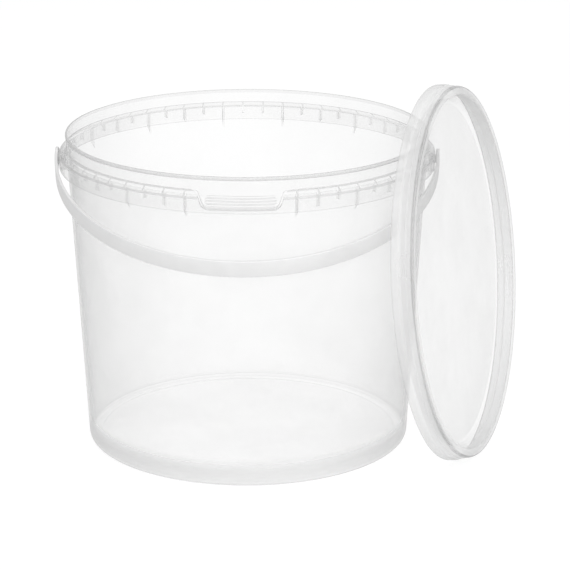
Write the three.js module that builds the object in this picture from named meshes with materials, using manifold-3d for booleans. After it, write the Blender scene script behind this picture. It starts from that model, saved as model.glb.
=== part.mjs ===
// Round snap-lid pail of translucent polypropylene, with its bow handle and its lid taken off.
// Millimetres, +Z up. The origin is on the pail's axis at the plane that it stands on.
// The pry pocket faces -Y and the handle's ears lie on the X axis.

import * as THREE from 'three';
import { mergeVertices } from 'three/addons/utils/BufferGeometryUtils.js';
import Module from 'manifold-3d';

const wasm = await Module();
wasm.setup();

// Pail wall and base
const PAIL_HEIGHT = 191;
const WALL = 1.3;
const BASE_RADIUS = 98.3;
const COLLAR_RADIUS = 108.6;
const BASE_THICKNESS = 1.4;
const FOOT_HEIGHT = 1;
const FOOT_WIDTH = 4;
const HEEL_RADIUS = 2;
const INNER_CORNER_RADIUS = 6;

// Rim bead above the collar
const BEAD_PROUD = 0.7;
const BEAD_HEIGHT = 2.2;
const BEAD_EDGE = 0.5;

// Flange and skirt below the collar
const COLLAR_HEIGHT = 8.3;
const LAND_WIDTH = 1.1;
const FLANGE_REACH = 3.5;
const FLANGE_DROP = 3.4;
const SKIRT_HEIGHT = 8.7;
const SKIRT_DRAFT = 0.2;
const SKIRT_WALL = 1.3;

// Ribs between the wall and the skirt
const RIBS_PER_TURN = 54;
const RIB_THICKNESS = 1;
const LONG_RIB_BELOW_SKIRT = 4.2;
const LONG_RIB_OUTER_RISE = 1.4;
const MEDIUM_RIB_INNER_RISE = 0.9;
const MEDIUM_RIB_OUTER_RISE = 2.6;
const SHORT_RIB_RISE = 4.7;

// Pry pocket in the front of the flange
const POCKET_WIDTH_TOP = 48.4;
const POCKET_WIDTH_BOTTOM = 42;
const POCKET_DEPTH = 9.5;
const POCKET_CORNER = 3;
const POCKET_LIP_ROUND = 1.8;
const POCKET_WALL = 1.2;
const GRIP_WIDTH = 42;
const GRIP_RIDGES = 4;
const GRIP_RIDGE_HEIGHT = 1.1;
const GRIP_RIDGE_PITCH = 1.75;
const GRIP_RIDGE_PROUD = 0.9;

// Ears and the handle's pins
const EAR_WIDTH = 24;
const EAR_BELOW_SKIRT = 2;
const EAR_CORNER = 3;
const HINGE_ABOVE_SKIRT_EDGE = 3.6;
const PIN_RADIUS = 2.6;
const PIN_HEAD_RADIUS = 3.6;
const PIN_HEAD_THICKNESS = 1.6;
const PIN_CLEARANCE = 0.3;

// Bow handle
const BOW_CLEARANCE = 0.8;
const BOW_THICKNESS = 1.8;
const BOW_WIDTH = 10.8;
const BOW_END_RADIUS = 6;
const BOW_REST_GAP = 0.35;

// Lid
const LID_TOP_THICKNESS = 1.5;
const LID_WALL = 1.2;
const LID_BEAD_CLEARANCE = 0.9;
const LID_SEAT_GAP = 0.1;
const LID_BAND_HEIGHT = 4.8;
const LID_BAND_PROUD = 1;
const LID_SHOULDER_HEIGHT = 8.4;
const LID_SHOULDER_STEP = 0.4;
const LID_EDGE_ROUND = 1.4;
const LID_RIM_WIDTH = 5.4;
const LID_RECESS_DEPTH = 10.2;
const LID_RECESS_STEP_DEPTH = 6.4;
const LID_RECESS_SLANT = 2.2;
const LID_RECESS_FOOT = 1.2;
const LID_LEAN = 7.35;
const LID_TURN = 17.6;
const LID_FORWARD = 29.1;
const LID_SWING_CLEARANCE = 0.5;

// How finely curves are divided, and how far joined and cutting solids reach past each other
const TURN_STEPS = 108;
const LID_STEPS = 96;
const BAR_STEPS = 24;
const ARC_STEPS = 5;
const SMALL_ARC_STEPS = 4;
const OVERLAP = 0.3;
const CUT_MARGIN = 1;
const MERGE_DISTANCE = 1e-4;
const HALVINGS = 40;

// Heights and radii that follow from the sizes above
const flangeTop = PAIL_HEIGHT - COLLAR_HEIGHT;
const flangeEdge = flangeTop - FLANGE_DROP;
const skirtEdge = flangeEdge - SKIRT_HEIGHT;
const landRadius = COLLAR_RADIUS + LAND_WIDTH;
const flangeRadius = landRadius + FLANGE_REACH;
const skirtRadius = flangeRadius - SKIRT_DRAFT;
const collarInner = COLLAR_RADIUS - WALL;
const floorHeight = FOOT_HEIGHT + BASE_THICKNESS;
const hingeHeight = skirtEdge + HINGE_ABOVE_SKIRT_EDGE;
const pocketFloor = flangeTop - POCKET_DEPTH;
const bowInner = flangeRadius + BOW_CLEARANCE;
const bowOuter = bowInner + BOW_THICKNESS;

const degrees = THREE.MathUtils.degToRad;

// Outer radius of the pail's wall, which tapers from the flange's foot down to the base
function wallRadius(z) {
  const share = Math.min(z / (flangeEdge + SKIRT_WALL), 1);
  return BASE_RADIUS + (COLLAR_RADIUS - BASE_RADIUS) * share;
}

// Points of an arc about a centre, from one angle to another in degrees
function arc(cx, cy, radius, from, to, steps = ARC_STEPS) {
  const points = [];
  for (let i = 0; i <= steps; i += 1) {
    const angle = degrees(from + ((to - from) * i) / steps);
    points.push([cx + radius * Math.cos(angle), cy + radius * Math.sin(angle)]);
  }
  return points;
}

// A closed geometry with shared corners becomes a solid that can be joined and cut
function solid(geometry) {
  const bare = geometry.index ? geometry.toNonIndexed() : geometry.clone();
  bare.deleteAttribute('normal');
  bare.deleteAttribute('uv');
  const merged = mergeVertices(bare, MERGE_DISTANCE);
  const position = merged.attributes.position;
  const source = merged.index.array;
  const triangles = [];
  for (let i = 0; i < source.length; i += 3) {
    const [a, b, c] = [source[i], source[i + 1], source[i + 2]];
    if (a !== b && b !== c && c !== a) {
      triangles.push(a, b, c);
    }
  }
  if (signedVolume(position, triangles) < 0) {
    triangles.reverse();
  }
  const mesh = new wasm.Mesh({
    numProp: 3,
    vertProperties: new Float32Array(position.array),
    triVerts: new Uint32Array(triangles),
  });
  mesh.merge();
  return new wasm.Manifold(mesh);
}

function signedVolume(position, triangles) {
  const corners = [new THREE.Vector3(), new THREE.Vector3(), new THREE.Vector3()];
  let volume = 0;
  for (let i = 0; i < triangles.length; i += 3) {
    corners.forEach((corner, k) => corner.fromBufferAttribute(position, triangles[i + k]));
    volume += corners[0].dot(corners[1].clone().cross(corners[2])) / 6;
  }
  return volume;
}

// A profile of [radius, height] points turned about the Z axis, with a facet's middle on each axis
function turned(profile, steps = TURN_STEPS) {
  const points = profile.map(([r, z]) => new THREE.Vector2(r, z));
  const geometry = new THREE.LatheGeometry(points, steps, Math.PI / steps, Math.PI * 2);
  geometry.rotateX(Math.PI / 2);
  return solid(geometry);
}

// A ring of rectangular or other section, its profile closed on itself
function turnedRing(profile) {
  return turned([...profile, profile[0]]);
}

// An outline in the XZ plane, extruded towards the front from one depth to another
function frontPrism(shape, nearest, furthest) {
  const geometry = new THREE.ExtrudeGeometry(shape, {
    depth: furthest - nearest,
    bevelEnabled: false,
    curveSegments: ARC_STEPS,
  });
  geometry.rotateX(Math.PI / 2);
  geometry.translate(0, -nearest, 0);
  return solid(geometry);
}

function outlineOf(points) {
  return new THREE.Shape(points.map(([x, y]) => new THREE.Vector2(x, y)));
}

// One wall from the base's underside round the heel, the flange and skirt, the collar and the rim,
// and back down the inside to the floor
function pailShellProfile() {
  const footOuter = wallRadius(0) - HEEL_RADIUS;
  const footInner = footOuter - FOOT_WIDTH;
  const underFlangeInner = flangeEdge + SKIRT_WALL;
  const bead = COLLAR_RADIUS + BEAD_PROUD;
  const innerCorner = wallRadius(floorHeight) - WALL - INNER_CORNER_RADIUS;
  return [
    [0, FOOT_HEIGHT],
    [footInner - FOOT_HEIGHT, FOOT_HEIGHT],
    [footInner, 0],
    ...arc(footOuter, HEEL_RADIUS, HEEL_RADIUS, -90, 0),
    [wallRadius(underFlangeInner), underFlangeInner],
    [skirtRadius - SKIRT_WALL, flangeEdge - SKIRT_WALL / 2],
    [skirtRadius - SKIRT_WALL, skirtEdge],
    [skirtRadius, skirtEdge],
    [flangeRadius, flangeEdge],
    [landRadius, flangeTop],
    [COLLAR_RADIUS, flangeTop],
    [COLLAR_RADIUS, PAIL_HEIGHT - BEAD_HEIGHT],
    [bead, PAIL_HEIGHT - BEAD_HEIGHT + BEAD_PROUD],
    [bead, PAIL_HEIGHT - BEAD_EDGE],
    [bead - BEAD_EDGE, PAIL_HEIGHT],
    [collarInner + BEAD_EDGE, PAIL_HEIGHT],
    [collarInner, PAIL_HEIGHT - BEAD_EDGE],
    [collarInner, flangeTop],
    ...arc(innerCorner, floorHeight + INNER_CORNER_RADIUS, INNER_CORNER_RADIUS, 0, -90),
    [0, floorHeight],
  ];
}

// The room between the wall and the skirt's outer face, filled, down to a chosen height
function flangeFill(bottom) {
  return turnedRing([
    [wallRadius(bottom) - OVERLAP, bottom],
    [skirtRadius, bottom],
    [skirtRadius, skirtEdge],
    [flangeRadius, flangeEdge],
    [landRadius, flangeTop],
    [COLLAR_RADIUS - OVERLAP, flangeTop],
  ]);
}

// A gusset seen from its side, from the wall out to the skirt, up under the flange
function ribProfile(innerEnd, outerEnd) {
  const outer = skirtRadius - SKIRT_WALL + OVERLAP;
  return [
    [wallRadius(innerEnd) - OVERLAP, innerEnd],
    [outer, outerEnd],
    [outer, flangeEdge - OVERLAP],
    [wallRadius(flangeEdge) - OVERLAP, flangeEdge + SKIRT_WALL + OVERLAP],
  ];
}

const RIB_ENDS = {
  long: [skirtEdge - LONG_RIB_BELOW_SKIRT, skirtEdge + LONG_RIB_OUTER_RISE],
  medium: [skirtEdge + MEDIUM_RIB_INNER_RISE, skirtEdge + MEDIUM_RIB_OUTER_RISE],
  short: [skirtEdge + SHORT_RIB_RISE, skirtEdge + SHORT_RIB_RISE],
};

// Counted from the back, the ribs repeat as short, long, short, medium
function ribKind(stepsFromBack, stepsFromFront) {
  const firstBesidePocket = Math.ceil(degreesOfPocket() / (360 / RIBS_PER_TURN) - 0.5);
  if (stepsFromFront === firstBesidePocket) {
    return 'long';
  }
  return ['short', 'long', 'short', 'medium'][stepsFromBack % 4];
}

// Half angle that the pocket and its side wall take up at the flange
function degreesOfPocket() {
  const halfWidth = POCKET_WIDTH_TOP / 2 + POCKET_LIP_ROUND + POCKET_WALL;
  return THREE.MathUtils.radToDeg(Math.asin(halfWidth / flangeRadius));
}

function degreesOfEar() {
  return THREE.MathUtils.radToDeg(Math.asin(EAR_WIDTH / 2 / skirtRadius));
}

function ribs() {
  const pitch = 360 / RIBS_PER_TURN;
  const made = [];
  for (let i = 0; i < RIBS_PER_TURN; i += 1) {
    const fromFront = (i + 0.5) * pitch;
    const foldedFront = fromFront > 180 ? 360 - fromFront : fromFront;
    const clearOfPocket = foldedFront > degreesOfPocket();
    const clearOfEars = Math.abs(foldedFront - 90) > degreesOfEar();
    if (clearOfPocket && clearOfEars) {
      const stepsFromFront = Math.floor(foldedFront / pitch);
      const stepsFromBack = Math.floor((180 - foldedFront) / pitch);
      const [innerEnd, outerEnd] = RIB_ENDS[ribKind(stepsFromBack, stepsFromFront)];
      const geometry = new THREE.ExtrudeGeometry(outlineOf(ribProfile(innerEnd, outerEnd)), {
        depth: RIB_THICKNESS,
        bevelEnabled: false,
      });
      geometry.translate(0, 0, -RIB_THICKNESS / 2);
      geometry.rotateX(Math.PI / 2);
      geometry.rotateZ(degrees(fromFront - 90));
      made.push(solid(geometry));
    }
  }
  return made;
}

// The pocket's outline from the front, grown on every side by a wall or not
function pocketOutline(grow) {
  const top = POCKET_WIDTH_TOP / 2 + grow;
  const bottom = POCKET_WIDTH_BOTTOM / 2 + grow;
  const floor = pocketFloor - grow;
  const corner = POCKET_CORNER + grow;
  const above = flangeTop + CUT_MARGIN;
  const slope = (top - bottom) / (flangeTop - floor);
  const lip = POCKET_LIP_ROUND;
  const shape = new THREE.Shape();
  shape.moveTo(-top - lip, above);
  shape.lineTo(-top - lip, flangeTop);
  shape.quadraticCurveTo(-top, flangeTop, -top + slope * lip, flangeTop - lip);
  shape.lineTo(-bottom - slope * corner, floor + corner);
  shape.quadraticCurveTo(-bottom, floor, -bottom + corner, floor);
  shape.lineTo(bottom - corner, floor);
  shape.quadraticCurveTo(bottom, floor, bottom + slope * corner, floor + corner);
  shape.lineTo(top - slope * lip, flangeTop - lip);
  shape.quadraticCurveTo(top, flangeTop, top + lip, flangeTop);
  shape.lineTo(top + lip, above);
  shape.closePath();
  return shape;
}

function pocketLiner() {
  const block = frontPrism(pocketOutline(POCKET_WALL), BASE_RADIUS, flangeRadius + CUT_MARGIN);
  return flangeFill(skirtEdge).intersect(block);
}

function pocketCavity() {
  const block = frontPrism(pocketOutline(0), BASE_RADIUS, flangeRadius + CUT_MARGIN);
  const back = turned([
    [0, 0],
    [COLLAR_RADIUS, 0],
    [COLLAR_RADIUS, PAIL_HEIGHT],
    [0, PAIL_HEIGHT],
  ]);
  return block.subtract(back);
}

// Thumb grip on the pocket's back: level ridges whose ends follow an oval
function gripRidges() {
  const ridges = [];
  const gripHeight = (GRIP_RIDGES - 1) * GRIP_RIDGE_PITCH;
  const middle = pocketFloor + POCKET_DEPTH / 2 - GRIP_RIDGE_HEIGHT;
  for (let i = 0; i < GRIP_RIDGES; i += 1) {
    const offset = i * GRIP_RIDGE_PITCH - gripHeight / 2;
    const z = middle + offset;
    const roundHeight = gripHeight / 2 + GRIP_RIDGE_HEIGHT;
    const inset = roundHeight - Math.sqrt(roundHeight ** 2 - offset ** 2);
    const half = GRIP_WIDTH / 2 - inset - GRIP_RIDGE_HEIGHT;
    const round = GRIP_RIDGE_HEIGHT / 2;
    const outline = outlineOf([
      ...arc(half, z, round, -90, 90, SMALL_ARC_STEPS),
      ...arc(-half, z, round, 90, 270, SMALL_ARC_STEPS),
    ]);
    const bar = frontPrism(outline, BASE_RADIUS, flangeRadius);
    const band = turnedRing([
      [COLLAR_RADIUS - OVERLAP, z - GRIP_RIDGE_PITCH],
      [COLLAR_RADIUS + GRIP_RIDGE_PROUD, z - GRIP_RIDGE_PITCH],
      [COLLAR_RADIUS + GRIP_RIDGE_PROUD, z + GRIP_RIDGE_PITCH],
      [COLLAR_RADIUS - OVERLAP, z + GRIP_RIDGE_PITCH],
    ]);
    ridges.push(bar.intersect(band));
  }
  return ridges;
}

// A round bar along X between two distances from the axis, at the hinge's height
function hingeBar(radius, from, to, side) {
  const geometry = new THREE.CylinderGeometry(radius, radius, to - from, BAR_STEPS);
  geometry.rotateZ(Math.PI / 2);
  geometry.translate((side * (from + to)) / 2, 0, hingeHeight);
  return solid(geometry);
}

// Solid boss between the wall and the skirt that carries one of the handle's pins
function earBoss(side) {
  const bottom = skirtEdge - EAR_BELOW_SKIRT;
  const half = EAR_WIDTH / 2;
  const shape = outlineOf([
    [-half, flangeTop],
    ...arc(-half + EAR_CORNER, bottom + EAR_CORNER, EAR_CORNER, 180, 270, SMALL_ARC_STEPS),
    ...arc(half - EAR_CORNER, bottom + EAR_CORNER, EAR_CORNER, 270, 360, SMALL_ARC_STEPS),
    [half, flangeTop],
  ]);
  const block = frontPrism(shape, BASE_RADIUS, flangeRadius + CUT_MARGIN).rotate([0, 0, side * 90]);
  return flangeFill(bottom).intersect(block);
}

// The pin's head turns in a wider room behind the skirt's own thickness
const headRoomOuter = skirtRadius - SKIRT_WALL;
const headOuter = headRoomOuter - PIN_CLEARANCE;
const headInner = headOuter - PIN_HEAD_THICKNESS;
const headRoomInner = headInner - PIN_CLEARANCE;

function earHole(side) {
  const throat = hingeBar(PIN_RADIUS + PIN_CLEARANCE, headRoomInner, bowInner, side);
  const room = hingeBar(PIN_HEAD_RADIUS + PIN_CLEARANCE, headRoomInner, headRoomOuter, side);
  return throat.add(room);
}

function pail() {
  let body = turned(pailShellProfile());
  for (const piece of [...ribs(), pocketLiner(), earBoss(1), earBoss(-1)]) {
    body = body.add(piece);
  }
  body = body.subtract(pocketCavity());
  for (const ridge of gripRidges()) {
    body = body.add(ridge);
  }
  return body.subtract(earHole(1)).subtract(earHole(-1));
}

// The handle is made level, reaching forward, with its pins on the X axis
function bow() {
  const outline = outlineOf([
    ...arc(0, 0, bowOuter, 180, 360, TURN_STEPS / 2),
    ...arc(0, 0, bowInner, 360, 180, TURN_STEPS / 2),
  ]);
  const strap = new THREE.ExtrudeGeometry(outline, { depth: BOW_WIDTH, bevelEnabled: false });
  strap.translate(0, 0, -BOW_WIDTH / 2);
  let handle = solid(strap);
  for (const side of [1, -1]) {
    const end = hingeBar(BOW_END_RADIUS, bowInner, bowOuter, side);
    const pin = hingeBar(PIN_RADIUS, headInner, bowInner + OVERLAP, side);
    const head = hingeBar(PIN_HEAD_RADIUS, headInner, headOuter, side);
    for (const piece of [end, pin, head]) {
      handle = handle.add(piece.translate([0, 0, -hingeHeight]));
    }
  }
  return handle;
}

// How far below level the bow hangs when its lower edge comes to rest against the wall
function bowHangAngle() {
  let low = 0;
  let high = Math.PI / 2;
  for (let i = 0; i < HALVINGS; i += 1) {
    const angle = (low + high) / 2;
    const reach = bowInner * Math.cos(angle) - (BOW_WIDTH / 2) * Math.sin(angle);
    const height = hingeHeight - bowInner * Math.sin(angle) - (BOW_WIDTH / 2) * Math.cos(angle);
    if (reach - wallRadius(height) > BOW_REST_GAP) {
      low = angle;
    } else {
      high = angle;
    }
  }
  return low;
}

// The lid's heights are counted from its skirt's free edge towards its top face
const lidSkirtDepth = COLLAR_HEIGHT + FLANGE_DROP - LID_SEAT_GAP;
const lidHeight = lidSkirtDepth + LID_TOP_THICKNESS;
const lidInner = COLLAR_RADIUS + BEAD_PROUD + LID_BEAD_CLEARANCE;
const lidUpperRadius = lidInner + LID_WALL;
const lidBandRadius = lidUpperRadius + LID_BAND_PROUD;
const lidRecessTop = lidUpperRadius - LID_RIM_WIDTH;
const lidRecessStep = lidRecessTop - LID_RECESS_SLANT;
const lidPanelRadius = lidRecessStep - LID_RECESS_FOOT;
const lidPanelTop = lidHeight - LID_RECESS_DEPTH;
const lidPanelUnder = lidPanelTop - LID_WALL;
const lidStepHeight = lidHeight - LID_RECESS_STEP_DEPTH;

// A channel round the edge that closes over the pail's rim, and a panel sunk below it
function lidProfile() {
  const round = LID_EDGE_ROUND;
  const wall = LID_WALL;
  const shoulder = lidUpperRadius - LID_SHOULDER_STEP;
  return [
    [0, lidPanelUnder],
    [lidPanelRadius + wall / 2, lidPanelUnder],
    [lidPanelRadius + wall, lidPanelTop],
    [lidRecessStep + wall, lidStepHeight],
    [lidRecessTop + wall, lidSkirtDepth],
    [lidInner - LID_SHOULDER_STEP, lidSkirtDepth],
    [lidInner, LID_SHOULDER_HEIGHT],
    [lidInner, LID_BAND_HEIGHT + wall],
    [lidInner + LID_BAND_PROUD, LID_BAND_HEIGHT],
    [lidInner + LID_BAND_PROUD, wall],
    [lidBandRadius, 0],
    [lidBandRadius, LID_BAND_HEIGHT - LID_BAND_PROUD / 2],
    [lidUpperRadius, LID_BAND_HEIGHT + LID_BAND_PROUD / 2],
    [lidUpperRadius, LID_SHOULDER_HEIGHT],
    [shoulder, LID_SHOULDER_HEIGHT + LID_SHOULDER_STEP],
    ...arc(shoulder - round, lidHeight - round, round, 0, 90, SMALL_ARC_STEPS),
    [lidRecessTop + LID_SHOULDER_STEP, lidHeight],
    [lidRecessTop, lidHeight - LID_SHOULDER_STEP],
    [lidRecessStep, lidStepHeight],
    [lidPanelRadius, lidPanelTop + wall],
    [lidPanelRadius - wall, lidPanelTop],
    [0, lidPanelTop],
  ];
}

// The lid stands on its skirt's edge and leans, its underside clear of the handle's whole swing
function placeLid(mesh) {
  const lean = degrees(LID_LEAN);
  const turn = degrees(LID_TURN);
  const level = Math.cos(lean);
  const facing = new THREE.Vector3(level * Math.cos(turn), -level * Math.sin(turn), Math.sin(lean));
  const swing = Math.hypot(bowOuter, BOW_WIDTH / 2);
  const standing = lidBandRadius * Math.cos(Math.PI / LID_STEPS) * level;
  const needed = swing + LID_SWING_CLEARANCE - lidPanelUnder;
  const fromHinge = needed + LID_FORWARD * facing.y - (standing - hingeHeight) * facing.z;
  mesh.position.set(fromHinge / facing.x, -LID_FORWARD, standing);
  mesh.rotation.set(0, Math.PI / 2 - lean, -turn, 'ZYX');
}

// Materials read from the photograph
const translucent = { transparent: true, opacity: 0.35, metalness: 0 };
const pailPlastic = new THREE.MeshStandardMaterial({ ...translucent, color: 0xeef0f1, roughness: 0.35 });
const lidPlastic = new THREE.MeshStandardMaterial({ ...translucent, color: 0xf0f1f2, roughness: 0.4 });
const handlePlastic = new THREE.MeshStandardMaterial({ color: 0xe9ebec, roughness: 0.45, metalness: 0 });

function meshOf(name, shape, material) {
  const { vertProperties, triVerts } = shape.getMesh();
  const geometry = new THREE.BufferGeometry();
  geometry.setAttribute('position', new THREE.BufferAttribute(new Float32Array(vertProperties), 3));
  geometry.setIndex(new THREE.BufferAttribute(new Uint32Array(triVerts), 1));
  geometry.computeVertexNormals();
  const mesh = new THREE.Mesh(geometry, material);
  mesh.name = name;
  return mesh;
}

const product = new THREE.Group();
product.add(meshOf('bucket_body', pail(), pailPlastic));

const handle = meshOf('bail_handle', bow(), handlePlastic);
handle.position.z = hingeHeight;
handle.rotation.x = bowHangAngle();
product.add(handle);

const lid = meshOf('lid', turned(lidProfile(), LID_STEPS), lidPlastic);
placeLid(lid);
product.add(lid);

export default product;
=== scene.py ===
"""Translucent snap-lid pail with its bow handle, and its lid off and leaning beside it.

The pail, handle, lid and finishes hold their sizes in millimetres and angles in degrees. A finished
mesh and the studio are in metres. The pail's axis is Z, its pry pocket faces -Y and the handle's hinge
lies along X.
"""

import logging
import math
from collections.abc import Callable
from dataclasses import dataclass, field, replace
from enum import Enum

import bmesh
import bpy
from mathutils import Matrix, Vector

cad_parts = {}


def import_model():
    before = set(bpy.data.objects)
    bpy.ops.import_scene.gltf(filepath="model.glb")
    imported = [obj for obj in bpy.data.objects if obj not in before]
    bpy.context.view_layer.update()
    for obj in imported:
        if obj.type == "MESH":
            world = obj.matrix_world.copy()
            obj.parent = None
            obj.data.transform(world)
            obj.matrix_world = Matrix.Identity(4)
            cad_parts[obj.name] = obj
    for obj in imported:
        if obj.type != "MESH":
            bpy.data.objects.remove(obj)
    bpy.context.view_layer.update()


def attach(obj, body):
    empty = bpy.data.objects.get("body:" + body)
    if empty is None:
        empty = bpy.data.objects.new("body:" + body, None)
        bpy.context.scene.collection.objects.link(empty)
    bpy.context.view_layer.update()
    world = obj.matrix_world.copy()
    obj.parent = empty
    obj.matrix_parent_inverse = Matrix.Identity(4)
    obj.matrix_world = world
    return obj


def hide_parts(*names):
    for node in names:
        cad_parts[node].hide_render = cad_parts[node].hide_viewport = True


MM = 0.001
DEGREE = math.pi / 180
MERGE_DISTANCE = 1e-4
CUT_MARGIN = 1.0
SHARP_ANGLE = 35 * DEGREE
BEVEL_ANGLE = 60 * DEGREE
LEVEL_NORMAL = 0.5
WHITE = (1, 1, 1, 1)

Point = tuple[float, float]
Corner = tuple[float, float, float]
Mesh = bmesh.types.BMesh
Face = bmesh.types.BMFace
Tree = bpy.types.NodeTree
Socket = bpy.types.NodeSocket
log = logging.getLogger("pail")


# Outlines


def arc(centre: Point, radius: float, start: float, end: float, steps: int = 8) -> list[Point]:
    """Lists points along an arc.

    Args:
        centre: The arc's centre.
        radius: Its radius.
        start: The angle of its first point, in degrees.
        end: The angle of its last point, in degrees.
        steps: How many chords it has.

    Returns:
        The points from start to end.
    """
    angles = [(start + (end - start) * i / steps) * DEGREE for i in range(steps + 1)]
    return [(centre[0] + radius * math.cos(a), centre[1] + radius * math.sin(a)) for a in angles]


def rounded(corners: list[Corner], closed: bool, steps: int = 5) -> list[Point]:
    """Rounds the corners of a line.

    Args:
        corners: Each corner's two coordinates and the length that its rounding takes from each side.
        closed: True if the line's last corner joins its first.
        steps: How many chords a rounded corner has.

    Returns:
        The line's points.
    """
    points = []
    count = len(corners)
    for i, (x, y, reach) in enumerate(corners):
        inside = closed or 0 < i < count - 1
        if reach == 0 or not inside:
            points.append((x, y))
            continue
        corner = Vector((x, y))
        before = Vector(corners[i - 1][:2]) - corner
        after = Vector(corners[(i + 1) % count][:2]) - corner
        first = corner + before.normalized() * min(reach, before.length / 2)
        last = corner + after.normalized() * min(reach, after.length / 2)
        for k in range(steps + 1):
            t = k / steps
            p = first * (1 - t) ** 2 + corner * 2 * t * (1 - t) + last * t**2
            points.append((p.x, p.y))
    return points


# Meshes


def face_outwards(bm: Mesh) -> Mesh:
    """Merges doubled points and turns every face of a closed mesh outwards."""
    bmesh.ops.remove_doubles(bm, verts=bm.verts, dist=MERGE_DISTANCE)
    bmesh.ops.dissolve_degenerate(bm, dist=MERGE_DISTANCE, edges=bm.edges)
    bmesh.ops.recalc_face_normals(bm, faces=bm.faces)
    return bm


def turned(profile: list[Point], segments: int, ring: bool = False) -> Mesh:
    """Turns a profile about the Z axis.

    Args:
        profile: Its points, as radius and height.
        segments: How many steps the turn has.
        ring: True if the profile closes on itself, and doesn't end on the axis.

    Returns:
        A closed mesh.
    """
    bm = bmesh.new()
    verts = [bm.verts.new((r, 0, z)) for r, z in profile]
    loop = verts + verts[:1] if ring else verts
    edges = [bm.edges.new(pair) for pair in zip(loop, loop[1:])]
    bmesh.ops.spin(
        bm,
        geom=verts + edges,
        cent=(0, 0, 0),
        axis=(0, 0, 1),
        angle=math.tau,
        steps=segments,
        use_merge=True,
    )
    return face_outwards(bm)


def extruded(outline: list[Vector], along: Vector) -> Mesh:
    """Extrudes a flat outline.

    Args:
        outline: Its corners in space.
        along: The direction and length of the extrusion.

    Returns:
        A closed mesh.
    """
    bm = bmesh.new()
    base = bm.faces.new([bm.verts.new(p) for p in outline])
    grown = bmesh.ops.extrude_face_region(bm, geom=[base], use_keep_orig=True)["geom"]
    moved = [v for v in grown if isinstance(v, bmesh.types.BMVert)]
    bmesh.ops.translate(bm, verts=moved, vec=along)
    return face_outwards(bm)


def front_prism(outline: list[Point], nearest: float, furthest: float) -> Mesh:
    """Extrudes an outline, drawn as seen from the front, between two distances before the axis."""
    return extruded([Vector((x, -nearest, z)) for x, z in outline], Vector((0, nearest - furthest, 0)))


def side_bar(radius: float, start: float, end: float, side: int, steps: int = 48) -> Mesh:
    """Makes a round bar along X.

    Args:
        radius: The bar's radius.
        start: The distance of its inner end from the pail's axis.
        end: The distance of its outer end.
        side: 1 for the right of the pail, -1 for the left.
        steps: How many sides the bar has.

    Returns:
        A closed mesh.
    """
    bm = bmesh.new()
    place = Matrix.Translation((side * (start + end) / 2, 0, 0)) @ Matrix.Rotation(math.pi / 2, 4, "Y")
    bmesh.ops.create_cone(
        bm, cap_ends=True, segments=steps, radius1=radius, radius2=radius, depth=end - start, matrix=place
    )
    return face_outwards(bm)


def bevel(bm: Mesh, edges: list[bmesh.types.BMEdge], width: float) -> None:
    """Bevels some edges of a mesh."""
    bmesh.ops.bevel(
        bm,
        geom=edges,
        offset=width,
        offset_type="OFFSET",
        segments=2,
        profile=0.5,
        affect="EDGES",
        material=-1,
        clamp_overlap=True,
    )


def soften(bm: Mesh, width: float) -> None:
    """Bevels each edge of a mesh where it turns sharply."""
    bevel(bm, [e for e in bm.edges if e.is_manifold and e.calc_face_angle() > BEVEL_ANGLE], width)


def turn_from_front(bm: Mesh, angle: float) -> Mesh:
    """Turns a mesh, drawn at the right of the pail, to an angle from the front towards the right."""
    turn = Matrix.Rotation((angle - 90) * DEGREE, 4, "Z")
    bmesh.ops.transform(bm, matrix=turn, verts=bm.verts)
    return bm


def merge_meshes(pieces: list[Mesh]) -> Mesh:
    """Puts several meshes into one and frees them."""
    whole = bmesh.new()
    for piece in pieces:
        carrier = bpy.data.meshes.new("carrier")
        piece.to_mesh(carrier)
        whole.from_mesh(carrier)
        bpy.data.meshes.remove(carrier)
        piece.free()
    return whole


class Zone(Enum):
    """The slot of a face's finish, on a piece whose plastic looks different by place."""

    WALL = 0
    THICK = 1
    PANEL = 2
    # The fourth slot holds a dark finish that paints shade as lines along edges, outlines and the pocket.
    EDGE = 3
    FOOT = 4


def mark(bm: Mesh, zone: Zone, chosen: Callable[[Face], bool] | None = None) -> Mesh:
    """Gives a zone's slot to the faces of a mesh that a test picks, or to all of them."""
    bm.normal_update()
    for face in bm.faces:
        if chosen is None or chosen(face):
            face.material_index = zone.value
    return bm


def section_place(face: Face) -> Point:
    """Gives the radius and the height of a face's centre."""
    at = face.calc_center_median()
    return math.hypot(at.x, at.y), at.z


def as_object(bm: Mesh, name: str, slots: int = len(Zone)) -> bpy.types.Object:
    """Makes an object of a mesh, with empty slots for its finishes, and frees the mesh."""
    mesh = bpy.data.meshes.new(name)
    bm.to_mesh(mesh)
    bm.free()
    for _ in range(slots):
        mesh.materials.append(None)
    obj = bpy.data.objects.new(name, mesh)
    bpy.context.scene.collection.objects.link(obj)
    return obj


class Joining(Enum):
    """What a tool does to the body that it meets."""

    ADD = "UNION"
    CUT = "DIFFERENCE"
    KEEP_COMMON = "INTERSECT"


def join(body: bpy.types.Object, tool: Mesh, how: Joining) -> bpy.types.Object:
    """Adds a closed mesh to a body, or cuts it with one.

    Args:
        body: The object to change.
        tool: The closed mesh that it meets. It is freed.
        how: What the tool does.

    Returns:
        The changed body.
    """
    other = as_object(tool, "tool")
    change = body.modifiers.new("join", "BOOLEAN")
    change.solver = "MANIFOLD"
    change.operation = how.value
    change.object = other
    bpy.context.view_layer.update()
    graph = bpy.context.evaluated_depsgraph_get()
    mesh = bpy.data.meshes.new_from_object(body.evaluated_get(graph))
    body.modifiers.clear()
    old, spent = body.data, other.data
    body.data = mesh
    bpy.data.objects.remove(other)
    bpy.data.meshes.remove(old)
    bpy.data.meshes.remove(spent)
    return body


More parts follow.
